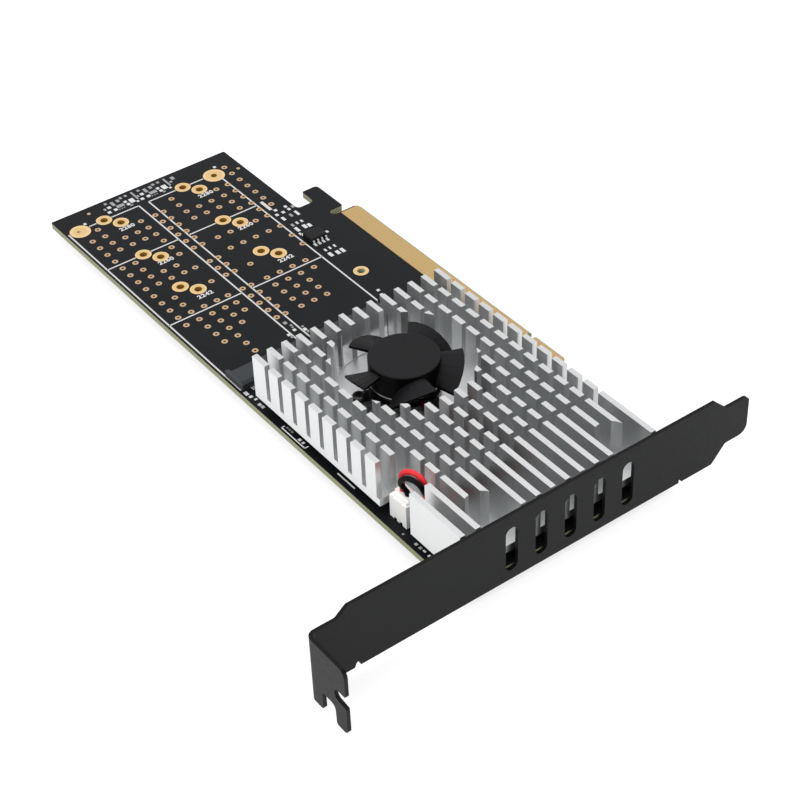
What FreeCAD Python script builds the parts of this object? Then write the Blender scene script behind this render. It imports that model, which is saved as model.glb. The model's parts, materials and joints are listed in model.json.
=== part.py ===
import FreeCAD, Part
import math
import os

# An expansion card that carries solid-state drives in M.2 sockets on both faces. A switch chip sits under a
# pin-fin heatsink with a small fan let into it, and a full-height bracket closes the slot of the computer.
# Millimetres. X runs from the bracket to the far end, Y from the mating edge to the top edge, and Z up from
# the component face of the board. The origin is the key notch, at the mating edge of the edge connector.

Vec = FreeCAD.Vector
UP = Vec(0, 0, 1)
os.makedirs("parts", exist_ok=True)

# Board outline
board_t = 1.6
bracket_gap = 0.3
board_x0 = -57.7
board_x1 = 117.1
board_y1 = 68.0
far_edge_y = 13.7
shoulder_y = 8.25
tongue_x0 = -12.6
tongue_x1 = 72.6
tongue_corner = 1.4
key_r = 0.95
key_y = 8.0
slit_r = 1.0
slit_y = 8.2
hook_y0 = 3.6
hook_y1 = 8.45
hook_x1 = 86.8
latch_x0 = 81.1
bevel_y = 0.6
bevel_z = 0.35

# Edge contacts
contact_pitch = 1.0
contact_w = 0.7
contact_y0 = 0.7
contact_y1 = 5.85
contact_t = 0.05
contacts_short = 11
contacts_long = 71
contact_first = 1.5

# M.2 drives: two side by side on each face, and three lengths of drive
socket_gap_y = 24.45
drive_front_y = 56.48
drive_rear_y = 53.5
socket_front_x = 26.3
rear_shift_x = -3.7
socket_deep = 7.6
socket_w = 21.2
socket_h = 2.4
slot_w = 19.9
slot_h = 0.95
slot_z = 1.0
slot_deep = 4.2
m2_key_y = 6.1
m2_key_w = 1.2
tail_pitch = 0.5
tail_w = 0.24
tail_l = 1.1
tail_t = 0.2
tail_count = 34
drive_hole_x = (71.1, 89.1, 109.1)
drive_hole_r = 1.025
tall_hole_x = 108.6
tall_hole_y = 22.35
tall_hole_r = 0.9
ground_hole_x = 47.7
ground_hole_y = 17.2
ground_hole_r = 0.92

# Heatsink
sink_x0 = -56.5
sink_x1 = 20.6
sink_y0 = 13.0
sink_y1 = 67.0
sink_z0 = 2.5
sink_base = 2.0
fin_top = 14.2
fin_count = 14
fin_t = 1.4
fin_pitch = (sink_y1 - sink_y0 - fin_t) / (fin_count - 1)
cross_w = 1.55
cross_pitch = 5.32
cross_count = 11
cross_x = 14.75
cavity_r = 16.8
cavity_deep = 0.2
header_bay_x0 = -39.2
header_bay_x1 = -28.2
header_bay_y0 = 60.6
pocket_r = 4.1

# Heatsink screws
sink_screw_x = -51.4
far_screw_x = 18.1
sink_screw_y = (56.9, 21.0)
sink_screw_r = 1.25
sink_screw_play = 0.15
screw_head_r = 2.2
screw_head_h = 1.5
spacer_r = 2.5
nut_across = 4.5
nut_h = 1.6

# Switch chip and pad
chip_x = -5.0
chip_y = 40.0
chip_w = 29.0
chip_h = 1.1
lid_w = 24.0
lid_h = 1.0
pad_w = 23.0

# Fan
fan_x = -1.5
fan_y = 40.0
hub_r = 8.45
hub_top = 14.55
hub_wall = 0.8
hub_z0 = 8.1
blade_count = 5
blade_r = 13.8
blade_azimuth = 31.0
blade_chord = 49.0
blade_high_z = 13.6
blade_low_tip_z = 9.0
blade_low_root_z = 9.7
blade_camber = 1.4
blade_t = 0.8
blade_steps = 6
frame_r = 8.6
frame_t = 1.6
arm_t = 1.0
arm_w = 4.0
arm_azimuth = 72.0
arm_count = 3
fan_screw_at = 11.3
fan_screw_r = 0.8
fan_screw_head_r = 1.5
fan_screw_head_h = 1.1
tube_r = 2.5
bearing_r = 1.8
shaft_r = 1.0
shaft_play = 0.03
boss_r = 2.2
yoke_t = 0.5
magnet_t = 1.2
air_gap = 0.45
stator_poles = 4
tube_top = 12.0
bearing_z0 = 6.4
shaft_z0 = 5.2
clip_z0 = 5.6
clip_z1 = 6.0
clip_r = 0.75
driver_r = 7.0
driver_t = 0.8
stator_z0 = 8.8
stator_z1 = 11.2
pole_w = 1.6
shoe_t = 0.8
core_wall = 0.9

# Fan connector and leads
header_x0 = -35.4
header_x1 = -29.4
header_y0 = 60.9
header_y1 = 65.3
header_h = 6.2
header_wall = 0.5
header_floor = 1.2
plug_top = 7.4
pin_pitch = 2.0
pin_w = 0.5
pin_top = 5.0
lead_r = 0.65
lead_turn_r = 1.25
lead_free_r = 20.0
lead_play = 0.06
lead_channel_y = 40.4

# Bracket
sheet = 0.9
panel_x0 = board_x0 - bracket_gap - sheet
panel_w = 18.4
panel_z0 = -2.9
panel_z1 = panel_z0 + panel_w
tab_y1 = 106.93
tongue_y0 = -13.1
vent_count = 5
vent_y = 22.8
vent_pitch = 8.1
vent_w = 3.25
vent_z0 = -0.3
vent_z1 = 11.85
bend_r = 2.0
tab_x0 = -71.2
tab_z0 = -4.35
tab_z1 = 13.3
tab_slot_x = -67.4
tab_slot_z0 = 3.2
tab_slot_z1 = 6.1
tab_slit_w = 4.5
tab_slit_z1 = 0.65
neck_below_tab = 9.9
edge_notch_below_tab = 11.5
edge_notch_w = 1.5
tongue_z0 = 1.4
tongue_z1 = 11.9
tongue_neck_y = -6.6
shoulder_y0 = -2.7
board_notch_y0 = 6.35
board_notch_y1 = 7.25
foot_x1 = -50.0
foot_half_w = 3.2
foot_y = (15.0, 62.9)
foot_screw_x = -53.5
foot_screw_r = 1.2

# Memory chip
memory_x0 = 65.3
memory_x1 = 69.2
memory_y0 = 15.2
memory_y1 = 20.2
memory_z0 = 0.15
memory_h = 1.35
memory_lead_pitch = 1.27
memory_lead_w = 0.42
memory_lead_t = 0.2
memory_lead_l = 1.4

# Values that follow
sink_z1 = sink_z0 + sink_base
cavity_z = sink_z1 - cavity_deep
sink_hole_r = sink_screw_r + sink_screw_play
panel_x1 = panel_x0 + sheet
rear_z = -board_t
foot_z0 = rear_z - sheet
chip_z1 = chip_h + lid_h
frame_z = cavity_z + frame_t
arm_z = cavity_z + arm_t
fan_at = Vec(fan_x, fan_y, 0)
bearing_z1 = tube_top - 0.2
hub_under = hub_top - hub_wall
boss_z0 = tube_top + 0.4
shaft_z1 = hub_top - 0.4
yoke_r = hub_r - hub_wall
magnet_r = yoke_r - yoke_t
stator_r = magnet_r - magnet_t - air_gap
core_r = tube_r + core_wall
driver_z1 = frame_z + driver_t
lead_end_x = fan_x - driver_r
lead_bottom = pin_top + 0.6
channel_x = cross_x - (cross_count - 1) * cross_pitch
lead_low_z = sink_z1 + lead_r
notch_half = lead_r + 0.1
lane_y = sink_y1 - 1.5 * fin_pitch - fin_t / 2
header_mid_x = (header_x0 + header_x1) / 2
header_mid_y = (header_y0 + header_y1) / 2


def box(x0, x1, y0, y1, z0, z1):
    return Part.makeBox(x1 - x0, y1 - y0, z1 - z0, Vec(x0, y0, z0))


def cylinder(x, y, z0, z1, radius):
    return Part.makeCylinder(radius, z1 - z0, Vec(x, y, z0))


def ring(x, y, z0, z1, inner, outer):
    return cylinder(x, y, z0, z1, outer).cut(cylinder(x, y, z0, z1, inner))


def fused(shapes):
    return shapes[0].multiFuse(shapes[1:]).removeSplitter()


def less(shape, cuts):
    return shape.cut(Part.makeCompound(cuts))


def turned(shape, degrees):
    copy = shape.copy()
    copy.rotate(fan_at, UP, degrees)
    return copy


def save(name, shape):
    shape.exportStep("parts/" + name + ".step")


# Closed face from corners (u, v, corner radius); place turns a flat point into a point in space.
def rounded_face(corners, place):
    stops = []
    for i, (u, v, radius) in enumerate(corners):
        at = Vec(u, v, 0)
        before = Vec(corners[i - 1][0] - u, corners[i - 1][1] - v, 0).normalize()
        follow = corners[(i + 1) % len(corners)]
        after = Vec(follow[0] - u, follow[1] - v, 0).normalize()
        half = before.getAngle(after) / 2
        reach = radius / math.tan(half)
        crown = (before + after).normalize() * (radius / math.sin(half) - radius)
        stops.append((at + before * reach, at + crown, at + after * reach, radius))
    edges = []
    for i, (first, middle, last, radius) in enumerate(stops):
        if radius > 0:
            edges.append(Part.Arc(place(first), place(middle), place(last)).toShape())
        following = stops[(i + 1) % len(stops)][0]
        if last.distanceToPoint(following) > 1e-6:
            edges.append(Part.LineSegment(place(last), place(following)).toShape())
    return Part.Face(Part.Wire(edges))


# Board: tongue with its key notch, a slit, the hook for the slot's latch, and the step to the far end.
def make_board():
    slit_x1 = tongue_x1 + 2 * slit_r
    corners = [
        (board_x0, shoulder_y, 0.5),
        (tongue_x0, shoulder_y, 0.8),
        (tongue_x0, tongue_corner, 0),
        (tongue_x0 + tongue_corner, 0, 0),
        (-key_r, 0, 0),
        (-key_r, key_y, key_r),
        (key_r, key_y, key_r),
        (key_r, 0, 0),
        (tongue_x1 - tongue_corner, 0, 0),
        (tongue_x1, tongue_corner, 0),
        (tongue_x1, slit_y, slit_r),
        (slit_x1, slit_y, slit_r),
        (slit_x1, hook_y0, 0.8),
        (hook_x1, hook_y0, 1.2),
        (hook_x1, hook_y1, 0.6),
        (latch_x0, hook_y1, 1.2),
        (latch_x0, far_edge_y, 1.2),
        (board_x1, far_edge_y, 0.5),
        (board_x1, board_y1, 0.5),
        (board_x0, board_y1, 0.5),
    ]
    face = rounded_face(corners, lambda p: Vec(p.x, p.y, rear_z))
    board = face.extrude(Vec(0, 0, board_t))
    cuts = []
    for z, into in ((0, -bevel_z), (rear_z, bevel_z)):
        tip = [Vec(tongue_x0, 0, z), Vec(tongue_x0, bevel_y, z), Vec(tongue_x0, 0, z + into)]
        wedge = Part.Face(Part.makePolygon(tip + tip[:1]))
        cuts.append(wedge.extrude(Vec(tongue_x1 - tongue_x0, 0, 0)))
    for row in (0, 1):
        for x in drive_hole_x:
            front_y = drive_front_y - row * socket_gap_y
            rear_y = drive_rear_y - row * socket_gap_y
            cuts.append(cylinder(x, front_y, rear_z, 0, drive_hole_r))
            cuts.append(cylinder(x + rear_shift_x, rear_y, rear_z, 0, drive_hole_r))
    cuts.append(cylinder(tall_hole_x, tall_hole_y, rear_z, 0, tall_hole_r))
    cuts.append(cylinder(ground_hole_x, ground_hole_y, rear_z, 0, ground_hole_r))
    for x in (sink_screw_x, far_screw_x):
        for y in sink_screw_y:
            cuts.append(cylinder(x, y, rear_z, 0, sink_hole_r))
    for y in foot_y:
        cuts.append(cylinder(foot_screw_x, y, rear_z, 0, foot_screw_r + sink_screw_play))
    for x in pin_places():
        cuts.append(box(x - pin_w / 2, x + pin_w / 2, header_mid_y - pin_w / 2, header_mid_y + pin_w / 2,
                        rear_z, 0))
    return less(board, cuts)


def pin_places():
    return (header_mid_x - pin_pitch / 2, header_mid_x + pin_pitch / 2)


def make_edge_contacts(z0):
    pads = []
    for i in range(contacts_short):
        x = -contact_first - i * contact_pitch
        pads.append(box(x - contact_w / 2, x + contact_w / 2, contact_y0, contact_y1, z0, z0 + contact_t))
    for i in range(contacts_long):
        x = contact_first + i * contact_pitch
        pads.append(box(x - contact_w / 2, x + contact_w / 2, contact_y0, contact_y1, z0, z0 + contact_t))
    return Part.makeCompound(pads)


# Socket on the component face, opening toward the far end. The rear ones are turned about the X axis.
def make_socket(y):
    x1 = socket_front_x + socket_deep
    profile = [
        (socket_front_x, 0, 0),
        (x1, 0, 0),
        (x1, socket_h, 0.2),
        (socket_front_x + 0.7, socket_h, 0.2),
        (socket_front_x, socket_h - 0.6, 0),
    ]
    start = y - socket_w / 2
    body = rounded_face(profile, lambda p: Vec(p.x, start, p.y)).extrude(Vec(0, socket_w, 0))
    key = y + m2_key_y
    slot_top = slot_z + slot_h
    narrow = box(x1 - slot_deep, x1 + 1, key + m2_key_w / 2, y + slot_w / 2, slot_z, slot_top)
    wide = box(x1 - slot_deep, x1 + 1, y - slot_w / 2, key - m2_key_w / 2, slot_z, slot_top)
    return less(body, [narrow, wide])


def make_socket_tails(y):
    tails = []
    for i in range(tail_count):
        mid = y + (i - (tail_count - 1) / 2) * tail_pitch
        tails.append(box(socket_front_x - tail_l, socket_front_x, mid - tail_w / 2, mid + tail_w / 2, 0, tail_t))
    return tails


# The same shape on the rear face, with its row moved to the rear drives.
def on_rear(shape):
    copy = shape.copy()
    copy.rotate(Vec(0, drive_front_y, -board_t / 2), Vec(1, 0, 0), 180)
    copy.translate(Vec(rear_shift_x, drive_rear_y - drive_front_y, 0))
    return copy


def fin_y(n):
    return sink_y1 - fin_t - n * fin_pitch


# Heatsink: long fins cut across into pins, with a round well for the fan, a bay for the fan connector
# and two pockets for the screw heads.
def make_heatsink():
    base = box(sink_x0, sink_x1, sink_y0, sink_y1, sink_z0, sink_z1)
    fins = []
    for n in range(fin_count):
        fins.append(box(sink_x0, sink_x1, fin_y(n), fin_y(n) + fin_t, sink_z1, fin_top))
    cuts = []
    for k in range(cross_count):
        mid = cross_x - k * cross_pitch
        cuts.append(box(mid - cross_w / 2, mid + cross_w / 2, sink_y0 - 1, sink_y1 + 1, sink_z1, fin_top + 1))
    cuts.append(cylinder(fan_x, fan_y, sink_z1, fin_top + 1, cavity_r))
    cuts.append(box(header_bay_x0, header_bay_x1, header_bay_y0, sink_y1 + 1, sink_z1, fin_top + 1))
    for y in sink_screw_y:
        cuts.append(cylinder(sink_screw_x, y, sink_z1, fin_top + 1, pocket_r))
        cuts.append(box(sink_x0 - 1, sink_screw_x, y - pocket_r, y + pocket_r, sink_z1, fin_top + 1))
    pins = less(Part.makeCompound(fins), cuts)
    holes = [
        cylinder(fan_x, fan_y, cavity_z, sink_z1, cavity_r),
        box(header_bay_x0, header_bay_x1, header_bay_y0, sink_y1 + 1, sink_z0, sink_z1),
    ]
    for y in sink_screw_y:
        holes.append(cylinder(sink_screw_x, y, sink_z0, sink_z1, sink_hole_r))
        holes.append(cylinder(far_screw_x, y, sink_z0, sink_z1 - 0.3, sink_screw_r))
    for place in fan_screw_places():
        holes.append(cylinder(place.x, place.y, sink_z0 + 0.4, sink_z1, fan_screw_r))
    return fused([less(base, holes)] + pins.Solids)


def fan_screw_places():
    places = []
    for i in range(arm_count):
        angle = math.radians(arm_azimuth + i * 360 / arm_count)
        places.append(fan_at + Vec(math.cos(angle), math.sin(angle), 0) * fan_screw_at)
    return places


def make_spacers():
    rings = []
    for x in (sink_screw_x, far_screw_x):
        for y in sink_screw_y:
            rings.append(ring(x, y, 0, sink_z0, sink_hole_r, spacer_r))
    return Part.makeCompound(rings)


def cross_recess(x, y, top, deep, reach):
    one = box(x - reach, x + reach, y - 0.25, y + 0.25, top - deep, top)
    other = box(x - 0.25, x + 0.25, y - reach, y + reach, top - deep, top)
    return one.fuse(other)


def make_screw(x, y, seat, tip, radius, head_r, head_h):
    outward = Vec(0, 0, 1 if seat > tip else -1)
    at = Vec(x, y, seat)
    rim = 0.3 * head_h
    solids = [
        Part.makeCylinder(head_r, head_h - rim, at, outward),
        Part.makeCone(head_r, head_r - rim, rim, at + outward * (head_h - rim), outward),
        Part.makeCylinder(radius, abs(seat - tip), at, -outward),
    ]
    top = seat + head_h if outward.z > 0 else seat - 0.5 * head_h
    return fused(solids).cut(cross_recess(x, y, top, 0.5 * head_h, 0.55 * head_r))


def make_nut(x, y):
    corners = []
    for i in range(6):
        angle = math.radians(60 * i)
        reach = nut_across / 2 / math.cos(math.radians(30))
        corners.append(Vec(x + reach * math.cos(angle), y + reach * math.sin(angle), rear_z - nut_h))
    face = Part.Face(Part.makePolygon(corners + corners[:1]))
    return face.extrude(Vec(0, 0, nut_h)).cut(cylinder(x, y, rear_z - nut_h, rear_z, sink_screw_r))


# Fan frame: disc with the bearing tube, three screw arms, and a notch where the leads come in.
def make_fan_frame():
    disc = cylinder(fan_x, fan_y, cavity_z, frame_z, frame_r)
    tube = cylinder(fan_x, fan_y, frame_z, tube_top, tube_r)
    solids = [disc, tube]
    for place in fan_screw_places():
        solids.append(cylinder(place.x, place.y, cavity_z, arm_z, arm_w / 2))
    for i in range(arm_count):
        arm = box(fan_x, fan_x + fan_screw_at, fan_y - arm_w / 2, fan_y + arm_w / 2, cavity_z, arm_z)
        solids.append(turned(arm, arm_azimuth + i * 360 / arm_count))
    cuts = [
        cylinder(fan_x, fan_y, bearing_z0, tube_top, bearing_r),
        cylinder(fan_x, fan_y, cavity_z + 0.5, bearing_z0, bearing_r),
        box(fan_x - cavity_r, lead_end_x, lead_channel_y - notch_half, lead_channel_y + notch_half,
            cavity_z, frame_z),
    ]
    for place in fan_screw_places():
        cuts.append(cylinder(place.x, place.y, cavity_z, arm_z, fan_screw_r + 0.1))
    return less(fused(solids), cuts)


# One blade: its cross-section is lofted from inside the hub wall to beyond the tip, then trimmed round.
def blade_section(reach, low_z, thick):
    spread = reach * math.tan(math.radians(blade_chord / 2))
    upper = []
    lower = []
    for i in range(blade_steps + 1):
        t = i / blade_steps
        z = blade_high_z + (low_z - blade_high_z) * t + blade_camber * 4 * t * (1 - t)
        upper.append(Vec(reach, spread * (1 - 2 * t), z))
        lower.append(Vec(reach, spread * (1 - 2 * t), z - thick))
    loop = upper + lower[::-1]
    return Part.makePolygon(loop + loop[:1])


def make_impeller():
    root_reach = yoke_r - 0.05
    tip_reach = blade_r + 0.2
    wires = [
        blade_section(root_reach, blade_low_root_z, blade_t),
        blade_section(tip_reach, blade_low_tip_z, 0.75 * blade_t),
    ]
    blade = Part.makeLoft(wires, True, True)
    blade.translate(fan_at)
    trim = ring(fan_x, fan_y, 0, 20, hub_r - 0.4, blade_r)
    blade = blade.common(trim)
    shell = cylinder(fan_x, fan_y, hub_z0, hub_top, hub_r)
    rim = [e for e in shell.Edges if e.Closed and abs(e.CenterOfMass.z - hub_top) < 1e-6]
    shell = shell.makeFillet(0.35, rim)
    shell = shell.cut(cylinder(fan_x, fan_y, hub_z0, hub_under, yoke_r))
    boss = cylinder(fan_x, fan_y, boss_z0, hub_under, boss_r)
    solids = [shell, boss]
    for i in range(blade_count):
        middle = blade_azimuth - blade_chord / 2 + i * 360 / blade_count
        solids.append(turned(blade, middle))
    return fused(solids).cut(cylinder(fan_x, fan_y, boss_z0, shaft_z1, shaft_r))


def make_shaft():
    rod = cylinder(fan_x, fan_y, shaft_z0, shaft_z1, shaft_r)
    return rod.cut(ring(fan_x, fan_y, clip_z0, clip_z1, clip_r, shaft_r + 1))


def make_stator_core():
    body = cylinder(fan_x, fan_y, stator_z0, stator_z1, core_r)
    shoes = ring(fan_x, fan_y, stator_z0, stator_z1, stator_r - shoe_t, stator_r)
    solids = [body, shoes]
    for i in range(stator_poles):
        pole = box(fan_x, fan_x + stator_r - 0.3, fan_y - pole_w / 2, fan_y + pole_w / 2, stator_z0, stator_z1)
        solids.append(turned(pole, i * 360 / stator_poles))
    gaps = [cylinder(fan_x, fan_y, stator_z0, stator_z1, tube_r)]
    for i in range(stator_poles):
        gap = box(fan_x, fan_x + stator_r + 1, fan_y - 0.4, fan_y + 0.4, stator_z0, stator_z1)
        gap = gap.cut(cylinder(fan_x, fan_y, stator_z0, stator_z1, core_r))
        gaps.append(turned(gap, 45 + i * 360 / stator_poles))
    return less(fused(solids), gaps)


def make_coils():
    x0 = fan_x + core_r
    x1 = fan_x + stator_r - shoe_t
    coils = []
    for i in range(stator_poles):
        wound = box(x0, x1, fan_y - 1.3, fan_y + 1.3, stator_z0 - 0.7, stator_z1 + 0.7)
        wound = wound.cut(box(x0, x1, fan_y - pole_w / 2, fan_y + pole_w / 2, stator_z0, stator_z1))
        wound = wound.cut(cylinder(fan_x, fan_y, stator_z0 - 1, stator_z1 + 1, core_r))
        wound = wound.common(cylinder(fan_x, fan_y, stator_z0 - 1, stator_z1 + 1, stator_r - shoe_t))
        coils.append(turned(wound, i * 360 / stator_poles))
    return Part.makeCompound(coils)


# Fan connector: an open shroud with two pins, and the plug that fills it.
def make_header():
    shroud = box(header_x0, header_x1, header_y0, header_y1, 0, header_h)
    inner = box(header_x0 + header_wall, header_x1 - header_wall, header_y0 + header_wall,
                header_y1 - header_wall, header_floor, header_h)
    cuts = [inner]
    for x in pin_places():
        cuts.append(box(x - pin_w / 2, x + pin_w / 2, header_mid_y - pin_w / 2, header_mid_y + pin_w / 2,
                        0, header_floor))
        cuts.append(box(x - 0.5, x + 0.5, header_y0 - 1, header_y1 + 1, 0, 0.6))
    for x in (header_x0 + 1.5, header_x1 - 1.5):
        cuts.append(box(x - 0.35, x + 0.35, header_y1 - header_wall, header_y1, header_h - 1.8, header_h))
    return less(shroud, cuts)


def make_plug():
    x0 = header_x0 + header_wall
    x1 = header_x1 - header_wall
    y0 = header_y0 + header_wall
    y1 = header_y1 - header_wall
    block = box(x0, x1, y0, y1, header_floor, plug_top)
    ribs = [box(x - 0.35, x + 0.35, y1, y1 + header_wall, header_h - 1.8, header_h - 0.2)
            for x in (header_x0 + 1.5, header_x1 - 1.5)]
    cuts = [box(x0, x1, y1 - 0.7, y1, header_h + 0.5, plug_top)]
    for x in pin_places():
        cuts.append(box(x - pin_w / 2, x + pin_w / 2, header_mid_y - pin_w / 2, header_mid_y + pin_w / 2,
                        header_floor, pin_top))
        cuts.append(cylinder(x, header_mid_y, pin_top + 0.6, plug_top, lead_r))
    return less(fused([block] + ribs), cuts)


def make_pins():
    pins = []
    for x in pin_places():
        pins.append(box(x - pin_w / 2, x + pin_w / 2, header_mid_y - pin_w / 2, header_mid_y + pin_w / 2,
                        rear_z - 1.0, pin_top))
    return Part.makeCompound(pins)


# Round lead along straight runs joined by tangent arcs; each stop is a point and the largest radius there.
def make_lead(name, stops):
    edges = []
    at = stops[0][0]
    for i in range(1, len(stops) - 1):
        corner, largest = stops[i]
        before = stops[i - 1][0] - corner
        after = stops[i + 1][0] - corner
        run = min(before.Length, after.Length)
        before.normalize()
        after.normalize()
        half = before.getAngle(after) / 2
        turn_r = min(0.45 * run * math.tan(half), largest)
        reach = turn_r / math.tan(half)
        crown = (before + after).normalize() * (turn_r / math.sin(half) - turn_r)
        first = corner + before * reach
        last = corner + after * reach
        edges.append(Part.LineSegment(at, first).toShape())
        edges.append(Part.Arc(first, corner + crown, last).toShape())
        at = last
        print(name, "turn", i, "radius", round(turn_r, 2))
    edges.append(Part.LineSegment(at, stops[-1][0]).toShape())
    route = Part.Wire(edges)
    start = stops[0][0]
    section = Part.Wire(Part.makeCircle(lead_r, start, stops[1][0] - start))
    tube = route.makePipeShell([section], True, False)
    print(name, "volume over section times length", tube.Volume / (math.pi * lead_r ** 2 * route.Length))
    return tube


# The red lead dives to the base and lies under the black one along the channel.
def red_route():
    other_x, start_x = pin_places()
    return [
        (Vec(start_x, header_mid_y, lead_bottom), lead_free_r),
        (Vec(start_x, header_mid_y, plug_top + 0.5), lead_free_r),
        (Vec(start_x + 0.4, header_mid_y - 0.1, 12.3), lead_free_r),
        (Vec(start_x - 2.4, header_mid_y - 1.05, 13.8), lead_free_r),
        (Vec(channel_x + 1.95, lane_y + 0.8, 12.7), lead_free_r),
        (Vec(channel_x + 2.3, lane_y + 0.1, lead_low_z), lead_free_r),
        (Vec(channel_x, lane_y - 0.65, lead_low_z), lead_free_r),
        (Vec(channel_x, lead_channel_y, lead_low_z), lead_turn_r),
        (Vec(lead_end_x, lead_channel_y, lead_low_z), lead_free_r),
    ]


def black_route():
    start_x, other_x = pin_places()
    upper = lead_low_z + 2 * lead_r + lead_play
    return [
        (Vec(start_x, header_mid_y, lead_bottom), lead_free_r),
        (Vec(start_x, header_mid_y, plug_top + 0.4), lead_free_r),
        (Vec(start_x + 1.5, header_mid_y + 1.4, 11.2), lead_free_r),
        (Vec(start_x - 0.8, header_mid_y + 0.6, 13.3), lead_free_r),
        (Vec(channel_x + 1.85, header_mid_y - 0.5, 12.8), lead_free_r),
        (Vec(channel_x, lane_y + 0.7, upper + 1.4), lead_free_r),
        (Vec(channel_x, lane_y - 4.0, upper), lead_free_r),
        (Vec(channel_x, lead_channel_y, upper), lead_turn_r),
        (Vec(lead_end_x, lead_channel_y, upper), lead_free_r),
    ]


# Bracket: pressed panel with its vents, the narrow tongue below, and the tab bent over at the top.
def make_bracket():
    tab_y0 = tab_y1 - sheet
    neck_y = tab_y1 - neck_below_tab
    notch_y0 = tab_y1 - edge_notch_below_tab - edge_notch_w / 2
    notch_y1 = tab_y1 - edge_notch_below_tab + edge_notch_w / 2
    panel_corners = [
        (tongue_y0, tongue_z0, 2.4),
        (tongue_neck_y, tongue_z0, 1.0),
        (shoulder_y0, panel_z0, 0.6),
        (board_notch_y0, panel_z0, 0),
        (board_notch_y0, panel_z0 + 1.0, 0.4),
        (board_notch_y1, panel_z0 + 1.0, 0.4),
        (board_notch_y1, panel_z0, 0),
        (notch_y0, panel_z0, 0),
        (notch_y0, panel_z0 + 1.3, 0.5),
        (notch_y1 - 0.5, panel_z0 + 1.3, 0.5),
        (notch_y1, panel_z0, 0.3),
        (tab_y1 - bend_r - 1.3, panel_z0, 0),
        (tab_y1 - bend_r, tab_z0, 0),
        (tab_y1, tab_z0, 0),
        (tab_y1, tab_z1, 0),
        (neck_y + 2.7, tab_z1, 0.6),
        (neck_y, panel_z1, 0.5),
        (shoulder_y0 + 0.3, panel_z1, 0.5),
        (tongue_neck_y + 0.5, tongue_z1, 0.6),
        (tongue_y0, tongue_z1, 1.6),
    ]
    panel = rounded_face(panel_corners, lambda p: Vec(panel_x0 - 20, p.x, p.y)).extrude(Vec(22, 0, 0))
    root_x = panel_x1 - bend_r - 0.1
    tab_corners = [
        (panel_x1, tab_z0, 0),
        (panel_x1, tab_z1, 0),
        (tab_x0, tab_z1, 2.0),
        (tab_x0, tab_slot_z1, 0.4),
        (tab_slot_x, tab_slot_z1, 1.3),
        (tab_slot_x, tab_slot_z0, 1.3),
        (tab_x0, tab_slot_z0 - 0.4, 0.4),
        (tab_x0, tab_z0 - 0.3, 1.2),
        (tab_slot_x - 0.1, tab_z0 - 0.2, 0.6),
        (tab_slot_x + 0.1, tab_slit_z1, 1.4),
        (tab_slot_x + tab_slit_w, tab_slit_z1, 0.6),
        (tab_slot_x + tab_slit_w, tab_z0, 0.6),
    ]
    tab = rounded_face(tab_corners, lambda p: Vec(p.x, tab_y0 - 1, p.y)).extrude(Vec(0, 2 + sheet, 0))
    bend_corners = [
        (panel_x1, tongue_y0 - 1, 0),
        (panel_x1, tab_y1, bend_r),
        (tab_x0 - 1, tab_y1, 0),
        (tab_x0 - 1, tab_y0, 0),
        (panel_x0, tab_y0, bend_r - sheet),
        (panel_x0, tongue_y0 - 1, 0),
    ]
    strip = rounded_face(bend_corners, lambda p: Vec(p.x, p.y, tab_z0 - 1)).extrude(Vec(0, 0, panel_z1 - tab_z0 + 2))
    upright = strip.common(panel).common(box(root_x, panel_x1, tongue_y0, tab_y1, tab_z0, panel_z1))
    top = strip.common(tab).common(box(tab_x0, root_x, tab_y0, tab_y1, tab_z0 - 1, tab_z1))
    solids = [upright, top]
    for y in foot_y:
        solids.append(box(panel_x0 + 0.5, foot_x1, y - foot_half_w, y + foot_half_w, foot_z0, rear_z))
    cuts = []
    for i in range(vent_count):
        y = vent_y + i * vent_pitch
        half = vent_w / 2
        slot = [
            (y - half, vent_z0, half),
            (y + half, vent_z0, half),
            (y + half, vent_z1, half),
            (y - half, vent_z1, half),
        ]
        cuts.append(rounded_face(slot, lambda p: Vec(panel_x0 - 1, p.x, p.y)).extrude(Vec(3, 0, 0)))
    for y in foot_y:
        cuts.append(cylinder(foot_screw_x, y, foot_z0, rear_z, foot_screw_r))
    return less(fused(solids), cuts)


def make_memory_leads():
    leads = []
    for side in (-1, 1):
        wall = memory_x0 if side < 0 else memory_x1
        for i in range(4):
            y = (memory_y0 + memory_y1) / 2 + (i - 1.5) * memory_lead_pitch
            out = wall + side * memory_lead_l
            shape = [
                (wall, 0.85),
                (wall, 0.65),
                (wall + side * 0.3, 0.65),
                (wall + side * 0.45, 0),
                (out, 0),
                (out, memory_lead_t),
                (wall + side * 0.6, memory_lead_t),
                (wall + side * 0.45, 0.85),
            ]
            points = [Vec(x, y - memory_lead_w / 2, z) for x, z in shape]
            leads.append(Part.Face(Part.makePolygon(points + points[:1])).extrude(Vec(0, memory_lead_w, 0)))
    return Part.makeCompound(leads)


def make_memory_chip():
    body = box(memory_x0, memory_x1, memory_y0, memory_y1, memory_z0, memory_z0 + memory_h)
    top_edges = [e for e in body.Edges if abs(e.BoundBox.ZMin - memory_z0 - memory_h) < 1e-6]
    return body.makeChamfer(0.2, top_edges)


front_rows = (drive_front_y, drive_front_y - socket_gap_y)
sockets = [make_socket(y) for y in front_rows]
tails = make_socket_tails(front_rows[0]) + make_socket_tails(front_rows[1])

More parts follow.
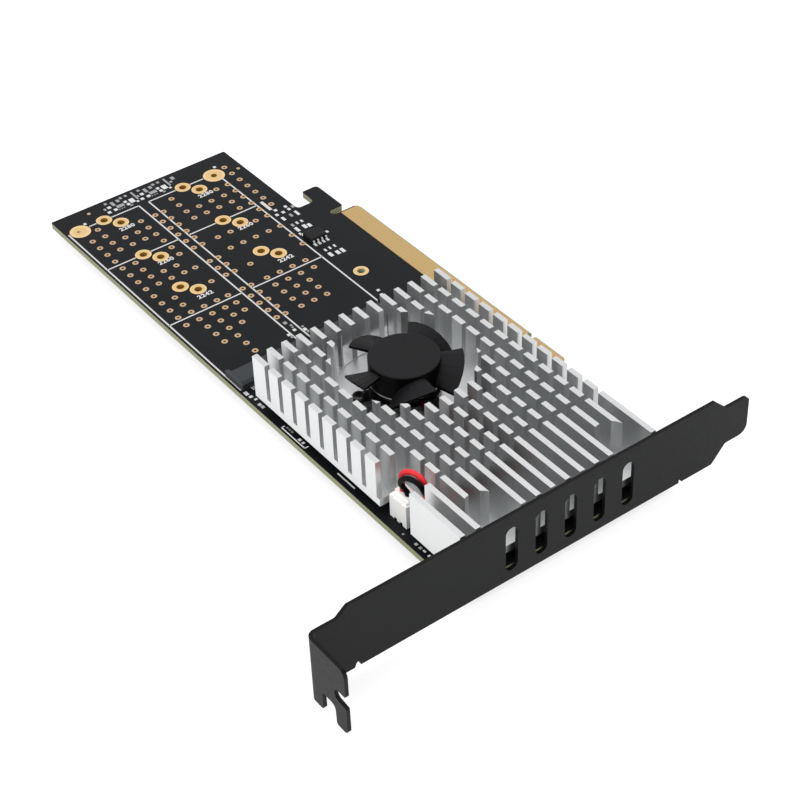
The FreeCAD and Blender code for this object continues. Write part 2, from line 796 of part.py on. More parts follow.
save("circuit_board", make_board())
save("edge_contacts_front", make_edge_contacts(0))
save("edge_contacts_rear", make_edge_contacts(rear_z - contact_t))
save("m2_socket_front_a", sockets[0])
save("m2_socket_front_b", sockets[1])
save("m2_socket_rear_a", on_rear(sockets[0]))
turned_b = on_rear(sockets[0])
turned_b.translate(Vec(0, -socket_gap_y, 0))
save("m2_socket_rear_b", turned_b)
save("m2_contacts_front", Part.makeCompound(tails))
rear_tails = on_rear(Part.makeCompound(make_socket_tails(front_rows[0])))
rear_tails_b = rear_tails.copy()
rear_tails_b.translate(Vec(0, -socket_gap_y, 0))
save("m2_contacts_rear", Part.makeCompound(rear_tails.Solids + rear_tails_b.Solids))

chip_half = chip_w / 2
lid_half = lid_w / 2
pad_half = pad_w / 2
save("switch_chip", box(chip_x - chip_half, chip_x + chip_half, chip_y - chip_half, chip_y + chip_half,
                        0, chip_h))
save("switch_chip_lid", box(chip_x - lid_half, chip_x + lid_half, chip_y - lid_half, chip_y + lid_half,
                            chip_h, chip_z1))
save("thermal_pad", box(chip_x - pad_half, chip_x + pad_half, chip_y - pad_half, chip_y + pad_half,
                        chip_z1, sink_z0))

save("heatsink", make_heatsink())
save("heatsink_spacers", make_spacers())
save("heatsink_screws_front", Part.makeCompound(
    [make_screw(sink_screw_x, y, sink_z1, rear_z - nut_h - 0.3, sink_screw_r, screw_head_r, screw_head_h)
     for y in sink_screw_y]))
save("heatsink_nuts", Part.makeCompound([make_nut(sink_screw_x, y) for y in sink_screw_y]))
save("heatsink_screws_rear", Part.makeCompound(
    [make_screw(far_screw_x, y, rear_z, sink_z1 - 0.5, sink_screw_r, screw_head_r, screw_head_h)
     for y in sink_screw_y]))

save("fan_frame", make_fan_frame())
save("fan_screws", Part.makeCompound(
    [make_screw(p.x, p.y, arm_z, sink_z0 + 0.6, fan_screw_r, fan_screw_head_r, fan_screw_head_h)
     for p in fan_screw_places()]))
save("fan_bearing", ring(fan_x, fan_y, bearing_z0, bearing_z1, shaft_r + shaft_play, bearing_r))
save("fan_driver_board", ring(fan_x, fan_y, frame_z, driver_z1, tube_r, driver_r))
save("fan_stator_core", make_stator_core())
save("fan_coils", make_coils())
save("fan_impeller", make_impeller())
save("fan_yoke", ring(fan_x, fan_y, hub_z0 + 0.3, hub_under, magnet_r, yoke_r))
save("fan_magnet", ring(fan_x, fan_y, stator_z0 - 0.2, stator_z1 + 1.2, magnet_r - magnet_t, magnet_r))
save("fan_shaft", make_shaft())
save("fan_shaft_clip", ring(fan_x, fan_y, clip_z0, clip_z1, clip_r, bearing_r - 0.3))

save("fan_header", make_header())
save("fan_header_pins", make_pins())
save("fan_plug", make_plug())
save("fan_lead_black", make_lead("black lead", black_route()))
save("fan_lead_red", make_lead("red lead", red_route()))

save("bracket", make_bracket())
save("bracket_screws", Part.makeCompound(
    [make_screw(foot_screw_x, y, 0, foot_z0 - 0.4, foot_screw_r, screw_head_r, screw_head_h)
     for y in foot_y]))

save("memory_chip", make_memory_chip())
save("memory_chip_leads", make_memory_leads())
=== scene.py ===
import json
import math

import bpy
from mathutils import Matrix, Vector


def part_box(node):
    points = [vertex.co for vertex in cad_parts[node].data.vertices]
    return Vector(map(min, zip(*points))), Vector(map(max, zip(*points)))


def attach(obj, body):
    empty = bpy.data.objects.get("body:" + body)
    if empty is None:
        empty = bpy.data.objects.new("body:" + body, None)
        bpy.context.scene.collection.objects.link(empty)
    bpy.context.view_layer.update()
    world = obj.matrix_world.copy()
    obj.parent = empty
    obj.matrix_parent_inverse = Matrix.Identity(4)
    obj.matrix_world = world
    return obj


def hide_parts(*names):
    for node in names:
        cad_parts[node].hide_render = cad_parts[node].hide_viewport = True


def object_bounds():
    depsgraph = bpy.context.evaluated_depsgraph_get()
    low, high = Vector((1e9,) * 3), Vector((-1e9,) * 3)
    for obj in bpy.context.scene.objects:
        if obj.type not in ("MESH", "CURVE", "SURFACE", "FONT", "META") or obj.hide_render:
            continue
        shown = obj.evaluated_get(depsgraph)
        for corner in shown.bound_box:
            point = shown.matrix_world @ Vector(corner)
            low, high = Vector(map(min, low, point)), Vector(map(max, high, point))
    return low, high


# Looks of the NVMe adapter card: materials on the CAD nodes, plated pads and vias, printing, solder pads,
# housings and springs of the sockets, a rim under the fan's hub, lights and the photo's camera.
# Millimetres in the tables, metres in Blender.

MM = 0.001
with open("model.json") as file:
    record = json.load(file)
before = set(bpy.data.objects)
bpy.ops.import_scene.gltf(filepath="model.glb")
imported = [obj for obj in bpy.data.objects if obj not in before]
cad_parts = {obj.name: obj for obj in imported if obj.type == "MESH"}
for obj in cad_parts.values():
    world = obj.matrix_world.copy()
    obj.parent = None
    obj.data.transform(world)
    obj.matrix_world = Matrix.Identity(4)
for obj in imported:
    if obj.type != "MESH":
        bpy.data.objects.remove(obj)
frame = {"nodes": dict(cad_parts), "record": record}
nodes = frame["nodes"]
scene = bpy.context.scene
start_low, start_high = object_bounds()

# The board's two faces, and its near edge
FACE = 0.0
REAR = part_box("circuit_board")[0].z / MM
BOARD_Y1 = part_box("circuit_board")[1].y / MM

# Heights of thin layers over the board's face
PRINT_T = 0.012
# Height of the discs of painted shade that close the vias' holes
SHADE_DISC_T = 0.014
VIA_T = 0.03
BAND_T = 0.035
PAD_T = 0.045
SOLDER_T = 0.08

# Holes and outlines of the drives, as they are in the CAD part
DRIVE_Y = (56.48, 32.03)
DRIVE_REAR_Y = (53.5, 29.05)
DRIVE_X = (71.1, 89.1, 109.1)
REAR_SHIFT = -3.7
DRIVE_HOLE_R = 1.025
PAD_R = 2.14
PRINT_HALF_W = 10.7
PRINT_X = (59.1, 89.1, 109.1)
PRINT_START_X = 27.0
REAR_START_X = 35.0
PRINT_GAP = 0.15
LINE_W = 0.42
MIN_LINE = 0.2

# A short bar by the memory chip, as (x0, x1, y, width)
CHIP_BAR = (85.0, 89.8, 19.55, 0.9)

# Pads that stand alone, as (x, y, hole radius, outer radius), and the small hole in one of them, drawn as
# a disc of painted shade
SINGLE_PADS = ((108.6, 22.35, 0.87, 3.0), (108.5, 64.0, 0.1, 2.8), (47.7, 17.2, 0.98, 2.0))
SMALL_HOLE = (108.7, 64.5)
SMALL_HOLE_R = 0.45

# A pad's raised outer band starts this share of the way out from its hole, and the inside is lower
BAND_START = 0.65
INNER_T = 0.6 * PAD_T
PAD_STEPS = 40

# How far a layer reaches into a hole, or past it, so that no gap shows
HOLE_LAP = 0.01
DISC_LAP = 0.02
DISC_LIFT = 0.003
DISC_STEPS = 20

# Where the last cross line stops short of a pad that stands alone, for each drive, as (y, half gap)
LINE_GAPS = ((64.0, 3.0), (22.35, 3.15))

# Vias
LATTICE_X = 45.2
LATTICE = 3.82
VIA_R = 0.82
VIA_HOLE_R = 0.33

# Plain numbers beside the drive holes, one for each length
NUMBERS = (("2242", 64.3), ("2260", 83.0), ("2280", 102.4))
NUMBER_Y = (53.35, 28.9)
NUMBER_SIZE = 2.0
NUMBER_SPACE = 1.12
NUMBER_WEIGHT = 0.08
NUMBER_T = 0.01

# A socket: a short roof over the slot, which ends at ROOF_X from the back, a longer floor, two end walls
# and the rib that keys the drive, with Z from the board's face
SOCKETS = ("m2_socket_front_a", "m2_socket_front_b", "m2_socket_rear_a", "m2_socket_rear_b")
SOCKET_H = 2.4
SLOT_DEPTH = 4.2
SLOT_Z = (1.0, 1.95)
ROOF_X = 5.4
END_WALL = 0.65
KEY_Y = 6.1
KEY_HALF_W = 0.6

# Springs of a socket, with X from its open side and Z from the board's face
SPRINGS = 36
SPRING_PITCH = 0.5
SPRING_HALF_W = 0.11
SPRING_T = 0.1
SPRING_X = (-3.9, -2.35)
SPRING_Z = (1.02, 1.83)

# The fan's hub, and the steel rim under it, which stands out a little
HUB_R = 8.45
HUB_Z0 = 8.1
RIM_CLEAR = 0.02
RIM_PROUD = 0.06
RIM_Z = (-0.12, 0.16)
RIM_STEPS = 72

# Plating over the contacts, along both parts of the edge connector
BAND_X = ((1.0, 72.2), (-12.3, -1.0))
BAND_Y = (0.62, 5.95)

# How much the floor shines of itself where it is seen
FLOOR_GLOW = 0.72

# The camera's focal length and the picture's width, both in pixels
FOCAL = 1991.585
PHOTO_W = 800


def shader(name, color, rough, metal=0.0, specular=0.5):
    mat = bpy.data.materials.new(name)
    mat.use_nodes = True
    node = mat.node_tree.nodes["Principled BSDF"]
    node.inputs["Base Color"].default_value = (*color, 1.0)
    node.inputs["Roughness"].default_value = rough
    node.inputs["Metallic"].default_value = metal
    node.inputs["Specular IOR Level"].default_value = specular
    return mat


def feed(mat, source, socket):
    tree = mat.node_tree
    tree.links.new(source, tree.nodes["Principled BSDF"].inputs[socket])


def noise(tree, scale, detail=3.0, stretch=(1.0, 1.0, 1.0)):
    where = tree.nodes.new("ShaderNodeTexCoord")
    mapping = tree.nodes.new("ShaderNodeMapping")
    mapping.inputs["Scale"].default_value = stretch
    tree.links.new(where.outputs["Object"], mapping.inputs["Vector"])
    field = tree.nodes.new("ShaderNodeTexNoise")
    field.inputs["Scale"].default_value = scale
    field.inputs["Detail"].default_value = detail
    tree.links.new(mapping.outputs["Vector"], field.inputs["Vector"])
    return field.outputs["Fac"]


def ranged(tree, source, low, high):
    node = tree.nodes.new("ShaderNodeMapRange")
    node.inputs["To Min"].default_value = low
    node.inputs["To Max"].default_value = high
    tree.links.new(source, node.inputs["Value"])
    return node.outputs["Result"]


def mixed(tree, factor, first, second):
    node = tree.nodes.new("ShaderNodeMix")
    node.data_type = "RGBA"
    for socket, value in ((node.inputs["A"], first), (node.inputs["B"], second)):
        if isinstance(value, tuple):
            socket.default_value = (*value, 1.0)
        else:
            tree.links.new(value, socket)
    tree.links.new(factor, node.inputs["Factor"])
    return node.outputs["Result"]


def above(tree, source, limit):
    node = tree.nodes.new("ShaderNodeMath")
    node.operation = "GREATER_THAN"
    node.inputs[1].default_value = limit
    tree.links.new(source, node.inputs[0])
    return node.outputs["Value"]


# One where the surface lies flat, and nought where it stands upright.
def facing_z(tree):
    geometry = tree.nodes.new("ShaderNodeNewGeometry")
    split = tree.nodes.new("ShaderNodeSeparateXYZ")
    tree.links.new(geometry.outputs["True Normal"], split.inputs["Vector"])
    size = tree.nodes.new("ShaderNodeMath")
    size.operation = "ABSOLUTE"
    tree.links.new(split.outputs["Z"], size.inputs[0])
    return size.outputs["Value"]


def roughen(mat, scale, low, high):
    tree = mat.node_tree
    feed(mat, ranged(tree, noise(tree, scale), low, high), "Roughness")


def grain(mat, scale, strength, distance):
    tree = mat.node_tree
    bump = tree.nodes.new("ShaderNodeBump")
    bump.inputs["Strength"].default_value = strength
    bump.inputs["Distance"].default_value = distance
    tree.links.new(noise(tree, scale), bump.inputs["Height"])
    feed(mat, bump.outputs["Normal"], "Normal")


# Solder mask on the faces, and on the cut edges the woven laminate between two tones.
def board_material(name, edge_low, edge_high):
    dark, light = (0.0050, 0.0057, 0.0068), (0.0090, 0.0101, 0.0115)
    mat = shader(name, dark, 0.42, specular=0.08)
    tree = mat.node_tree
    mask = mixed(tree, noise(tree, 90.0), dark, light)
    laminate = mixed(tree, noise(tree, 1500.0, 2.0, (0.2, 0.2, 1.0)), edge_low, edge_high)
    feed(mat, mixed(tree, above(tree, facing_z(tree), 0.99), laminate, mask), "Base Color")
    roughen(mat, 400.0, 0.36, 0.48)
    return mat


# Extruded aluminium: fine lines run along the extrusion and the faces have a grain. Faces that lie flat,
# the fins' tops and the base between them, get a darker colour than the upright sides: painted shade.
def heatsink_material():
    side_dark, side_light = (0.71, 0.723, 0.727), (0.775, 0.788, 0.792)
    shaded_top_dark, shaded_top_light = (0.57, 0.575, 0.58), (0.67, 0.675, 0.68)
    mat = shader("heatsink", side_dark, 0.38, metal=1.0)
    tree = mat.node_tree
    speck = noise(tree, 2600.0, 2.0)
    sides = mixed(tree, speck, side_dark, side_light)
    painted_shade_tops = mixed(tree, speck, shaded_top_dark, shaded_top_light)
    # Painted shade: faces that lie flat take the darker top colour, upright faces the side colour.
    feed(mat, mixed(tree, facing_z(tree), sides, painted_shade_tops), "Base Color")
    lines = noise(tree, 1800.0, 2.0, (0.02, 1.0, 1.0))
    feed(mat, ranged(tree, lines, 0.30, 0.46), "Roughness")
    grain(mat, 2200.0, 0.07, 0.00005)
    return mat


def plated(name, color, rough, metal=0.75, specular=0.5):
    mat = shader(name, color, rough, metal=metal, specular=specular)
    roughen(mat, 900.0, rough - 0.05, rough + 0.08)
    return mat


def plastic(name, color, rough, specular=0.4):
    mat = shader(name, color, rough, specular=specular)
    roughen(mat, 500.0, rough - 0.06, rough + 0.06)
    return mat


def powder(name, color, rough, specular):
    mat = shader(name, color, rough, specular=specular)
    roughen(mat, 700.0, rough - 0.05, rough + 0.08)
    grain(mat, 2400.0, 0.08, 0.00005)
    return mat


# Black paint on sheet steel. The cut edges, which face up, get a darker colour than the pressed faces:
# painted shade.
def bracket_material():
    pale, dark = (0.006, 0.0065, 0.0066), (0.001, 0.001, 0.0011)
    mat = powder("bracket_paint", pale, 0.42, 0.15)
    tree = mat.node_tree
    # Painted shade: faces turned mostly up take the dark colour.
    feed(mat, mixed(tree, above(tree, facing_z(tree), 0.6), pale, dark), "Base Color")
    return mat


# The fan's matt black plastic, with painted shade: the faces that stand on edge get a darker colour than
# the top of the hub.
def fan_material():
    dark, pale = (0.0015, 0.0015, 0.0018), (0.0092, 0.0092, 0.0105)
    mat = plastic("fan_plastic", dark, 0.42, specular=0.09)
    tree = mat.node_tree
    # Painted shade: upright faces take the dark colour, flat faces the pale one, with a blend between.
    feed(mat, mixed(tree, facing_z(tree), dark, pale), "Base Color")
    return mat


looks = {
    "solder_mask": board_material("board", (0.285, 0.29, 0.175), (0.375, 0.38, 0.24)),
    "driver_mask": board_material("driver_board", (0.02, 0.018, 0.01), (0.03, 0.028, 0.018)),
    "gold": plated("gold", (0.80, 0.575, 0.295), 0.34),
    "gold_inner": plated("gold_inner", (0.70, 0.49, 0.23), 0.40),
    "contact": plated("contact", (0.52, 0.36, 0.155), 0.42),
    "socket_plastic": plastic("socket_plastic", (0.022, 0.026, 0.031), 0.45, specular=0.3),
    "tin": plated("tin", (0.61, 0.615, 0.62), 0.42, metal=0.3),
    "chip_package": powder("chip_package", (0.010, 0.0103, 0.0110), 0.5, 0.12),
    "nickel_lid": plated("nickel_lid", (0.66, 0.65, 0.63), 0.3),
    "thermal_pad": plastic("thermal_pad", (0.45, 0.50, 0.56), 0.7),
    "heatsink_aluminium": heatsink_material(),
    "nylon": plastic("nylon", (0.78, 0.77, 0.72), 0.5),
    "screw_steel": plated("screw_steel", (0.62, 0.62, 0.63), 0.3),
    "black_screw": plastic("black_screw", (0.02, 0.02, 0.021), 0.20, specular=0.7),
    "fan_plastic": fan_material(),
    "frame_plastic": plastic("frame_plastic", (0.006, 0.006, 0.007), 0.20, specular=0.45),
    "bronze": plated("bronze", (0.55, 0.38, 0.2), 0.45),
    "core_steel": plated("core_steel", (0.45, 0.45, 0.47), 0.35),
    "rim_steel": plated("rim_steel", (0.55, 0.55, 0.56), 0.28),
    "copper": plated("copper", (0.72, 0.36, 0.18), 0.35),
    "magnet": plastic("magnet", (0.05, 0.045, 0.04), 0.6),
    "white_plastic": plastic("white_plastic", (0.95, 0.95, 0.93), 0.38),
    "black_insulation": plastic("black_insulation", (0.0035, 0.0035, 0.0035), 0.35, specular=0.08),
    "red_insulation": plastic("red_insulation", (0.78, 0.022, 0.035), 0.42, specular=0.25),
    "bracket_paint": bracket_material(),
    "print": plastic("print", (0.56, 0.555, 0.55), 0.6),
    # Painted light: a brighter copy of the print colour for the strip under the heatsink's edge.
    "print_painted_light": plastic("print_painted_light", (0.88, 0.88, 0.88), 0.6),
    "dim_print": plastic("dim_print", (0.28, 0.285, 0.29), 0.6),
    # Painted shade: a dark brown for the discs that close the vias' holes.
    "hole_painted_shade": plastic("hole_painted_shade", (0.050, 0.024, 0.008), 0.6, specular=0.1),
    # Painted shade: a darker gold-brown for the walls of plated holes and the disc of the small hole.
    "shaded_bore": plastic("shaded_bore", (0.33, 0.17, 0.014), 0.5, specular=0.15),
    "band": plated("band", (0.475, 0.325, 0.137), 0.44),
    "via": plated("via", (0.48, 0.33, 0.20), 0.40, metal=0.3, specular=0.25),
}

for part in frame["record"]["subparts"]:
    node = nodes[part["node"]]
    node.data.materials.clear()
    node.data.materials.append(looks[part["material_slot"]])
nodes["fan_driver_board"].data.materials[0] = looks["driver_mask"]
nodes["fan_frame"].data.materials[0] = looks["frame_plastic"]
for name in ("edge_contacts_front", "edge_contacts_rear"):
    nodes[name].data.materials[0] = looks["contact"]


def add_mesh(name, points, faces, look, body="card"):
    mesh = bpy.data.meshes.new(name)
    mesh.from_pydata([(x * MM, y * MM, z * MM) for x, y, z in points], [], faces)
    mesh.validate()
    mesh.materials.append(looks[look])
    piece = bpy.data.objects.new(name, mesh)
    scene.collection.objects.link(piece)
    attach(piece, body)
    return piece


# Profiles as ((x, z), ...), each run from y0 to y1, all in one piece.
def add_prisms(name, prisms, look):
    points = []
    faces = []
    for profile, y0, y1 in prisms:
        n = len(points)
        count = len(profile)
        points += [(x, y, z) for y in (y0, y1) for x, z in profile]
        faces.append(tuple(range(n, n + count)))
        faces.append(tuple(range(n + 2 * count - 1, n + count - 1, -1)))
        for i in range(count):
            k = (i + 1) % count
            faces.append((n + i, n + count + i, n + count + k, n + k))
    return add_mesh(name, points, faces, look)


# Boxes as (x0, x1, y0, y1, z0, z1), all in one piece.
def add_boxes(name, boxes, look):
    points = []
    faces = []
    for x0, x1, y0, y1, z0, z1 in boxes:
        n = len(points)
        points += [(x, y, z) for z in (z0, z1) for y in (y0, y1) for x in (x0, x1)]
        faces += [(n, n + 2, n + 3, n + 1), (n + 4, n + 5, n + 7, n + 6), (n, n + 1, n + 5, n + 4),
                  (n + 1, n + 3, n + 7, n + 5), (n + 3, n + 2, n + 6, n + 7), (n + 2, n, n + 4, n + 6)]
    add_mesh(name, points, faces, look)


def circle(x, y, z, radius, angle):
    return (x + radius * math.cos(angle), y + radius * math.sin(angle), z)


# Rings as (x, y, hole radius, outer radius), with walls from z0 to z1 and a look for the holes' walls.
def add_rings(name, rings, z0, z1, look, bore_look, steps, body="card"):
    points = []
    faces = []
    for x, y, hole, outer in rings:
        n = len(points)
        for i in range(steps):
            angle = 2 * math.pi * i / steps
            points += [circle(x, y, z, radius, angle)
                       for radius, z in ((hole, z0), (outer, z0), (outer, z1), (hole, z1))]
        for i in range(steps):
            a = n + 4 * i
            b = n + 4 * ((i + 1) % steps)
            for k in range(4):
                m = (k + 1) % 4
                faces.append((a + k, b + k, b + m, a + m))
    piece = add_mesh(name, points, faces, look, body)
    piece.data.materials.append(looks[bore_look])
    for i, face in enumerate(piece.data.polygons):
        face.material_index = 1 if i % 4 == 3 else 0


def add_discs(name, places, radius, z, look):
    points = [circle(x, y, z, radius, 2 * math.pi * i / DISC_STEPS)
              for x, y in places for i in range(DISC_STEPS)]
    faces = [tuple(range(n, n + DISC_STEPS)) for n in range(0, len(points), DISC_STEPS)]
    add_mesh(name, points, faces, look)


def line_x(x0, x1, y, width=LINE_W):
    return (x0, x1, y - width / 2, y + width / 2, FACE, PRINT_T)


def line_y(x, y0, y1, width=LINE_W):
    return (x - width / 2, x + width / 2, y0, y1, FACE, PRINT_T)


def patch(x, y, wide, deep, top):
    return (x - wide / 2, x + wide / 2, y - deep / 2, y + deep / 2, FACE, top)


# Flat patches as (x, y, wide, deep), all in one piece.
def add_patches(name, patches, top, look):
    add_boxes(name, [patch(*place, top) for place in patches], look)


# Plated pads round the drive holes, through the board and on both faces, each with a raised outer band.
# The holes' walls are in the darker bore colour, painted shade.
def drive_pads():
    holes = []
    for x in DRIVE_X:
        holes += [(x, y, DRIVE_HOLE_R - HOLE_LAP, PAD_R) for y in DRIVE_Y]
        holes += [(x + REAR_SHIFT, y, DRIVE_HOLE_R - HOLE_LAP, PAD_R) for y in DRIVE_REAR_Y]
    holes += SINGLE_PADS
    middle = [(1 - BAND_START) * hole + BAND_START * outer for x, y, hole, outer in holes]
    inner = [(x, y, hole, radius) for (x, y, hole, outer), radius in zip(holes, middle)]
    bands = [(x, y, radius, outer) for (x, y, hole, outer), radius in zip(holes, middle)]
    add_rings("plated_pads", inner, REAR - INNER_T, INNER_T, "gold_inner", "shaded_bore", PAD_STEPS)
    add_rings("pad_bands", bands, FACE, PAD_T, "gold", "gold", PAD_STEPS)
    add_rings("pad_bands_rear", bands, REAR - PAD_T, REAR, "gold", "gold", PAD_STEPS)
    # Painted shade: the small hole is a disc in the darker bore colour.
    add_discs("pad_hole_shade", [SMALL_HOLE], SMALL_HOLE_R, PAD_T + DISC_LIFT, "shaded_bore")


# Vias stand in rows, each given as its Y and its places along a lattice in X, a few between two of its
# columns.
def via_places():
    rows = [
        (18.0, range(11, 18)),
        (21.85, (5.7, 7, 8.4, 10, 11, 12, 13, 14, 15)),
        (25.5, (3, 4, 8.4, 10, 12, 13, 14, 15)),
        (29.5, (0, 1, 2, 3, 4, 8.4, 13, 14)),
        (33.4, (0, 1, 2, 3, 4, 8.4, 10, 13, 14)),
        (37.3, (0, 1, 2, 3, 4, 6, 8.4, 10, 13, 14, 15, 16)),
        (42.13, (0, 1, 2, 3, 4, 6, 7, 8, 10, 11, 12, 13, 14, 15)),
        (44.7, (0, 1, 2, 3, 4, 6, 7, 8, 10, 11, 12, 13, 14, 15)),
        (49.1, (2, 3, 4, 6, 8, 10, 11, 12, 13, 14, 15)),
        (52.39, (1, 2, 3, 4, 8, 9, 13, 14)),
        (56.17, (-2, -1, 0, 1, 2, 3, 4, 8, 9, 13, 14)),
        (59.97, (0, 1, 2, 3, 4, 5, 6, 8, 9, 10, 11, 13, 14, 15, 16)),
        (63.76, range(3, 16)),
    ]
    return [(LATTICE_X + k * LATTICE, y) for y, columns in rows for k in columns]


# Each via is a plated ring on both faces, with its wall in the darker bore colour and a dark disc closing
# its hole, both painted shade.
def vias():
    places = via_places()
    rings = [(x, y, VIA_HOLE_R, VIA_R) for x, y in places]
    shade_disc_r = VIA_HOLE_R + DISC_LAP
    add_rings("vias", rings, FACE, VIA_T, "via", "shaded_bore", 24)
    add_discs("via_shade_discs", places, shade_disc_r, FACE + SHADE_DISC_T, "hole_painted_shade")
    add_rings("vias_rear", rings, REAR - VIA_T, REAR, "via", "shaded_bore", 16)
    add_discs("via_shade_discs_rear", places, shade_disc_r, REAR - SHADE_DISC_T, "hole_painted_shade")


# A cross line from y0 to y1 that stops short of each pad, given as (y, half gap).
def broken_line_y(x, y0, y1, pads):
    strips = []
    start = y0
    for y, half in sorted(pads):
        strips.append(line_y(x, start, y - half))
        start = y + half
    strips.append(line_y(x, start, y1))
    return [strip for strip in strips if strip[3] - strip[2] > MIN_LINE]


# Printed outlines of the drives with a cross line for each length, and a short bar by the memory chip.
def printing():
    strips = []
    for y, line_gap in zip(DRIVE_Y, LINE_GAPS):
        low, high = y - PRINT_HALF_W, y + PRINT_HALF_W
        strips += [line_x(PRINT_START_X, PRINT_X[-1], side) for side in (high, low)]
        for x in PRINT_X:
            pads = [(y, PAD_R + PRINT_GAP)] if x in DRIVE_X else []
            if x == PRINT_X[-1]:
                pads.append(line_gap)
            strips += broken_line_y(x, low, high, pads)
    strips.append(line_x(*CHIP_BAR))
    add_boxes("printed_lines", strips, "print")


# Outlines of the two drives under the board.
def rear_printing():
    strips = []
    for y in DRIVE_REAR_Y:
        low, high = y - PRINT_HALF_W, y + PRINT_HALF_W
        strips += [line_x(REAR_START_X, PRINT_X[-1] + REAR_SHIFT - PAD_R, side) for side in (low, high)]
        for x in PRINT_X[1:]:
            strips += broken_line_y(x + REAR_SHIFT, low, high, [(y, PAD_R + PRINT_GAP)])
    rear = [(x0, x1, y0, y1, REAR - PRINT_T, REAR) for x0, x1, y0, y1, z0, z1 in strips]
    add_boxes("printed_lines_rear", rear, "print")


# Printing on the strip between the heatsink and the near edge, as (x, y, wide, deep).
NEAR_SPOTS = (
    (3.6, 66.5, 0.9, 0.7), (2.2, 66.5, 0.7, 0.7), (-43.2, 66.4, 0.9, 0.5), (-45.0, 66.5, 0.7, 0.7),
)
NEAR_MARKS = (
    (8.9, 66.3, 0.7, 0.5), (7.9, 66.3, 0.7, 0.5), (6.9, 66.3, 0.7, 0.5), (-36.1, 66.8, 0.5, 0.5),
)
NEAR_LINE_W = 0.3


# A three-sided outline, a line and spots in print made brighter as painted light, and four marks in dim
# print.
def near_edge_printing():
    top = BOARD_Y1 - 0.6
    strips = [
        line_x(0.4, 9.9, BOARD_Y1 - 0.68, NEAR_LINE_W),
        line_y(0.5, BOARD_Y1 - 1.8, top, NEAR_LINE_W),
        line_y(9.8, BOARD_Y1 - 1.6, top, NEAR_LINE_W),
        line_x(-17.7, -11.1, 66.4, 0.35),
    ]
    strips += [patch(*spot, PRINT_T) for spot in NEAR_SPOTS]
    add_boxes("near_edge_print", strips, "print_painted_light")
    add_patches("near_edge_marks", NEAR_MARKS, PRINT_T, "dim_print")


def printed_number(name, text, x, y):
    curve = bpy.data.curves.new(name, "FONT")
    curve.body = text
    curve.size = NUMBER_SIZE * MM
    curve.space_character = NUMBER_SPACE
    curve.offset = NUMBER_WEIGHT * MM
    curve.align_x = "CENTER"
    curve.align_y = "CENTER"
    curve.extrude = NUMBER_T * MM
    curve.resolution_u = 3
    piece = bpy.data.objects.new(name, curve)
    scene.collection.objects.link(piece)
    turn = Matrix.Rotation(math.radians(-90), 4, "Z")
    piece.matrix_world = Matrix.Translation((x * MM, y * MM, PRINT_T * MM)) @ turn
    bpy.context.view_layer.update()
    mesh = bpy.data.meshes.new_from_object(piece)
    solid = bpy.data.objects.new(name + "_print", mesh)
    solid.matrix_world = piece.matrix_world.copy()
    scene.collection.objects.link(solid)
    bpy.data.objects.remove(piece)
    mesh.materials.clear()
    mesh.materials.append(looks["print"])
    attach(solid, "card")


# Bare solder pads and printed marks as (x, y, wide, deep): a group at the far edge for each pair of
# drives, pads round the memory chip, and a few near the heatsink, the near edge and the corners.
FAR_SHIFTS = (0.0, -10.15)
FAR_PADS = (
    (113.33, 52.46, 1.05, 1.0), (111.3, 53.48, 1.0, 0.95), (111.37, 51.52, 1.05, 1.0),
    (112.4, 45.95, 2.0, 1.4), (112.97, 47.69, 0.95, 0.9), (111.48, 47.54, 0.95, 0.9),
    (111.12, 44.83, 0.75, 0.7),
)
FAR_MARKS = (
    (115.48, 52.39, 0.9, 0.8), (113.24, 53.79, 0.9, 0.7), (114.3, 50.8, 2.0, 0.9),
    (114.76, 49.04, 1.3, 0.9), (115.43, 47.78, 1.0, 0.8), (115.49, 46.19, 0.9, 0.8),
    (112.3, 49.57, 1.3, 2.2), (110.9, 50.55, 0.35, 0.4), (110.9, 49.8, 0.35, 0.4),
    (110.9, 49.1, 0.35, 0.4), (110.6, 47.06, 0.5, 0.9), (114.1, 44.2, 4.0, 0.55),
)
LOW_MARKS = ((114.78, 31.84, 1.4, 1.0), (113.5, 33.06, 0.8, 0.8))
CHIP_PADS = (
    (84.02, 18.82, 1.0, 0.85), (81.94, 19.72, 1.0, 0.85), (81.97, 17.71, 1.0, 0.85),
    (83.78, 15.78, 1.0, 0.8), (82.23, 15.73, 1.0, 0.8), (79.42, 15.06, 2.2, 0.75),
    (79.4, 19.36, 1.7, 0.8), (75.6, 17.69, 1.1, 0.6), (75.53, 16.24, 1.1, 0.6),
    (73.0, 17.0, 1.8, 0.95), (72.69, 15.72, 1.6, 0.95), (73.08, 19.33, 2.1, 0.9),
    (70.9, 19.9, 1.0, 0.6), (60.83, 18.98, 1.1, 0.55), (60.91, 17.54, 1.1, 0.55),
    (60.93, 16.05, 1.1, 0.55), (58.39, 19.03, 1.9, 0.95), (58.0, 17.05, 1.7, 0.95),
    (58.02, 15.55, 1.9, 0.95), (67.33, 13.9, 0.9, 0.7),
)
CHIP_MARKS = ((82.69, 14.22, 1.2, 0.8), (79.58, 16.85, 1.5, 0.7), (75.51, 19.14, 1.3, 0.7))
SINK_PADS = (
    (38.2, 44.2, 0.9, 0.8), (36.8, 42.0, 1.1, 0.8), (37.4, 46.4, 0.9, 0.8), (38.3, 18.7, 0.8, 0.8),
    (35.4, 19.1, 2.6, 0.9),
)
SINK_MARKS = (
    (42.0, 44.4, 1.1, 0.9), (40.3, 43.8, 0.7, 0.6), (39.4, 43.9, 0.5, 0.6), (36.3, 46.2, 0.8, 0.7),
    (38.2, 41.8, 0.6, 0.6), (35.7, 41.8, 0.8, 0.7),
)
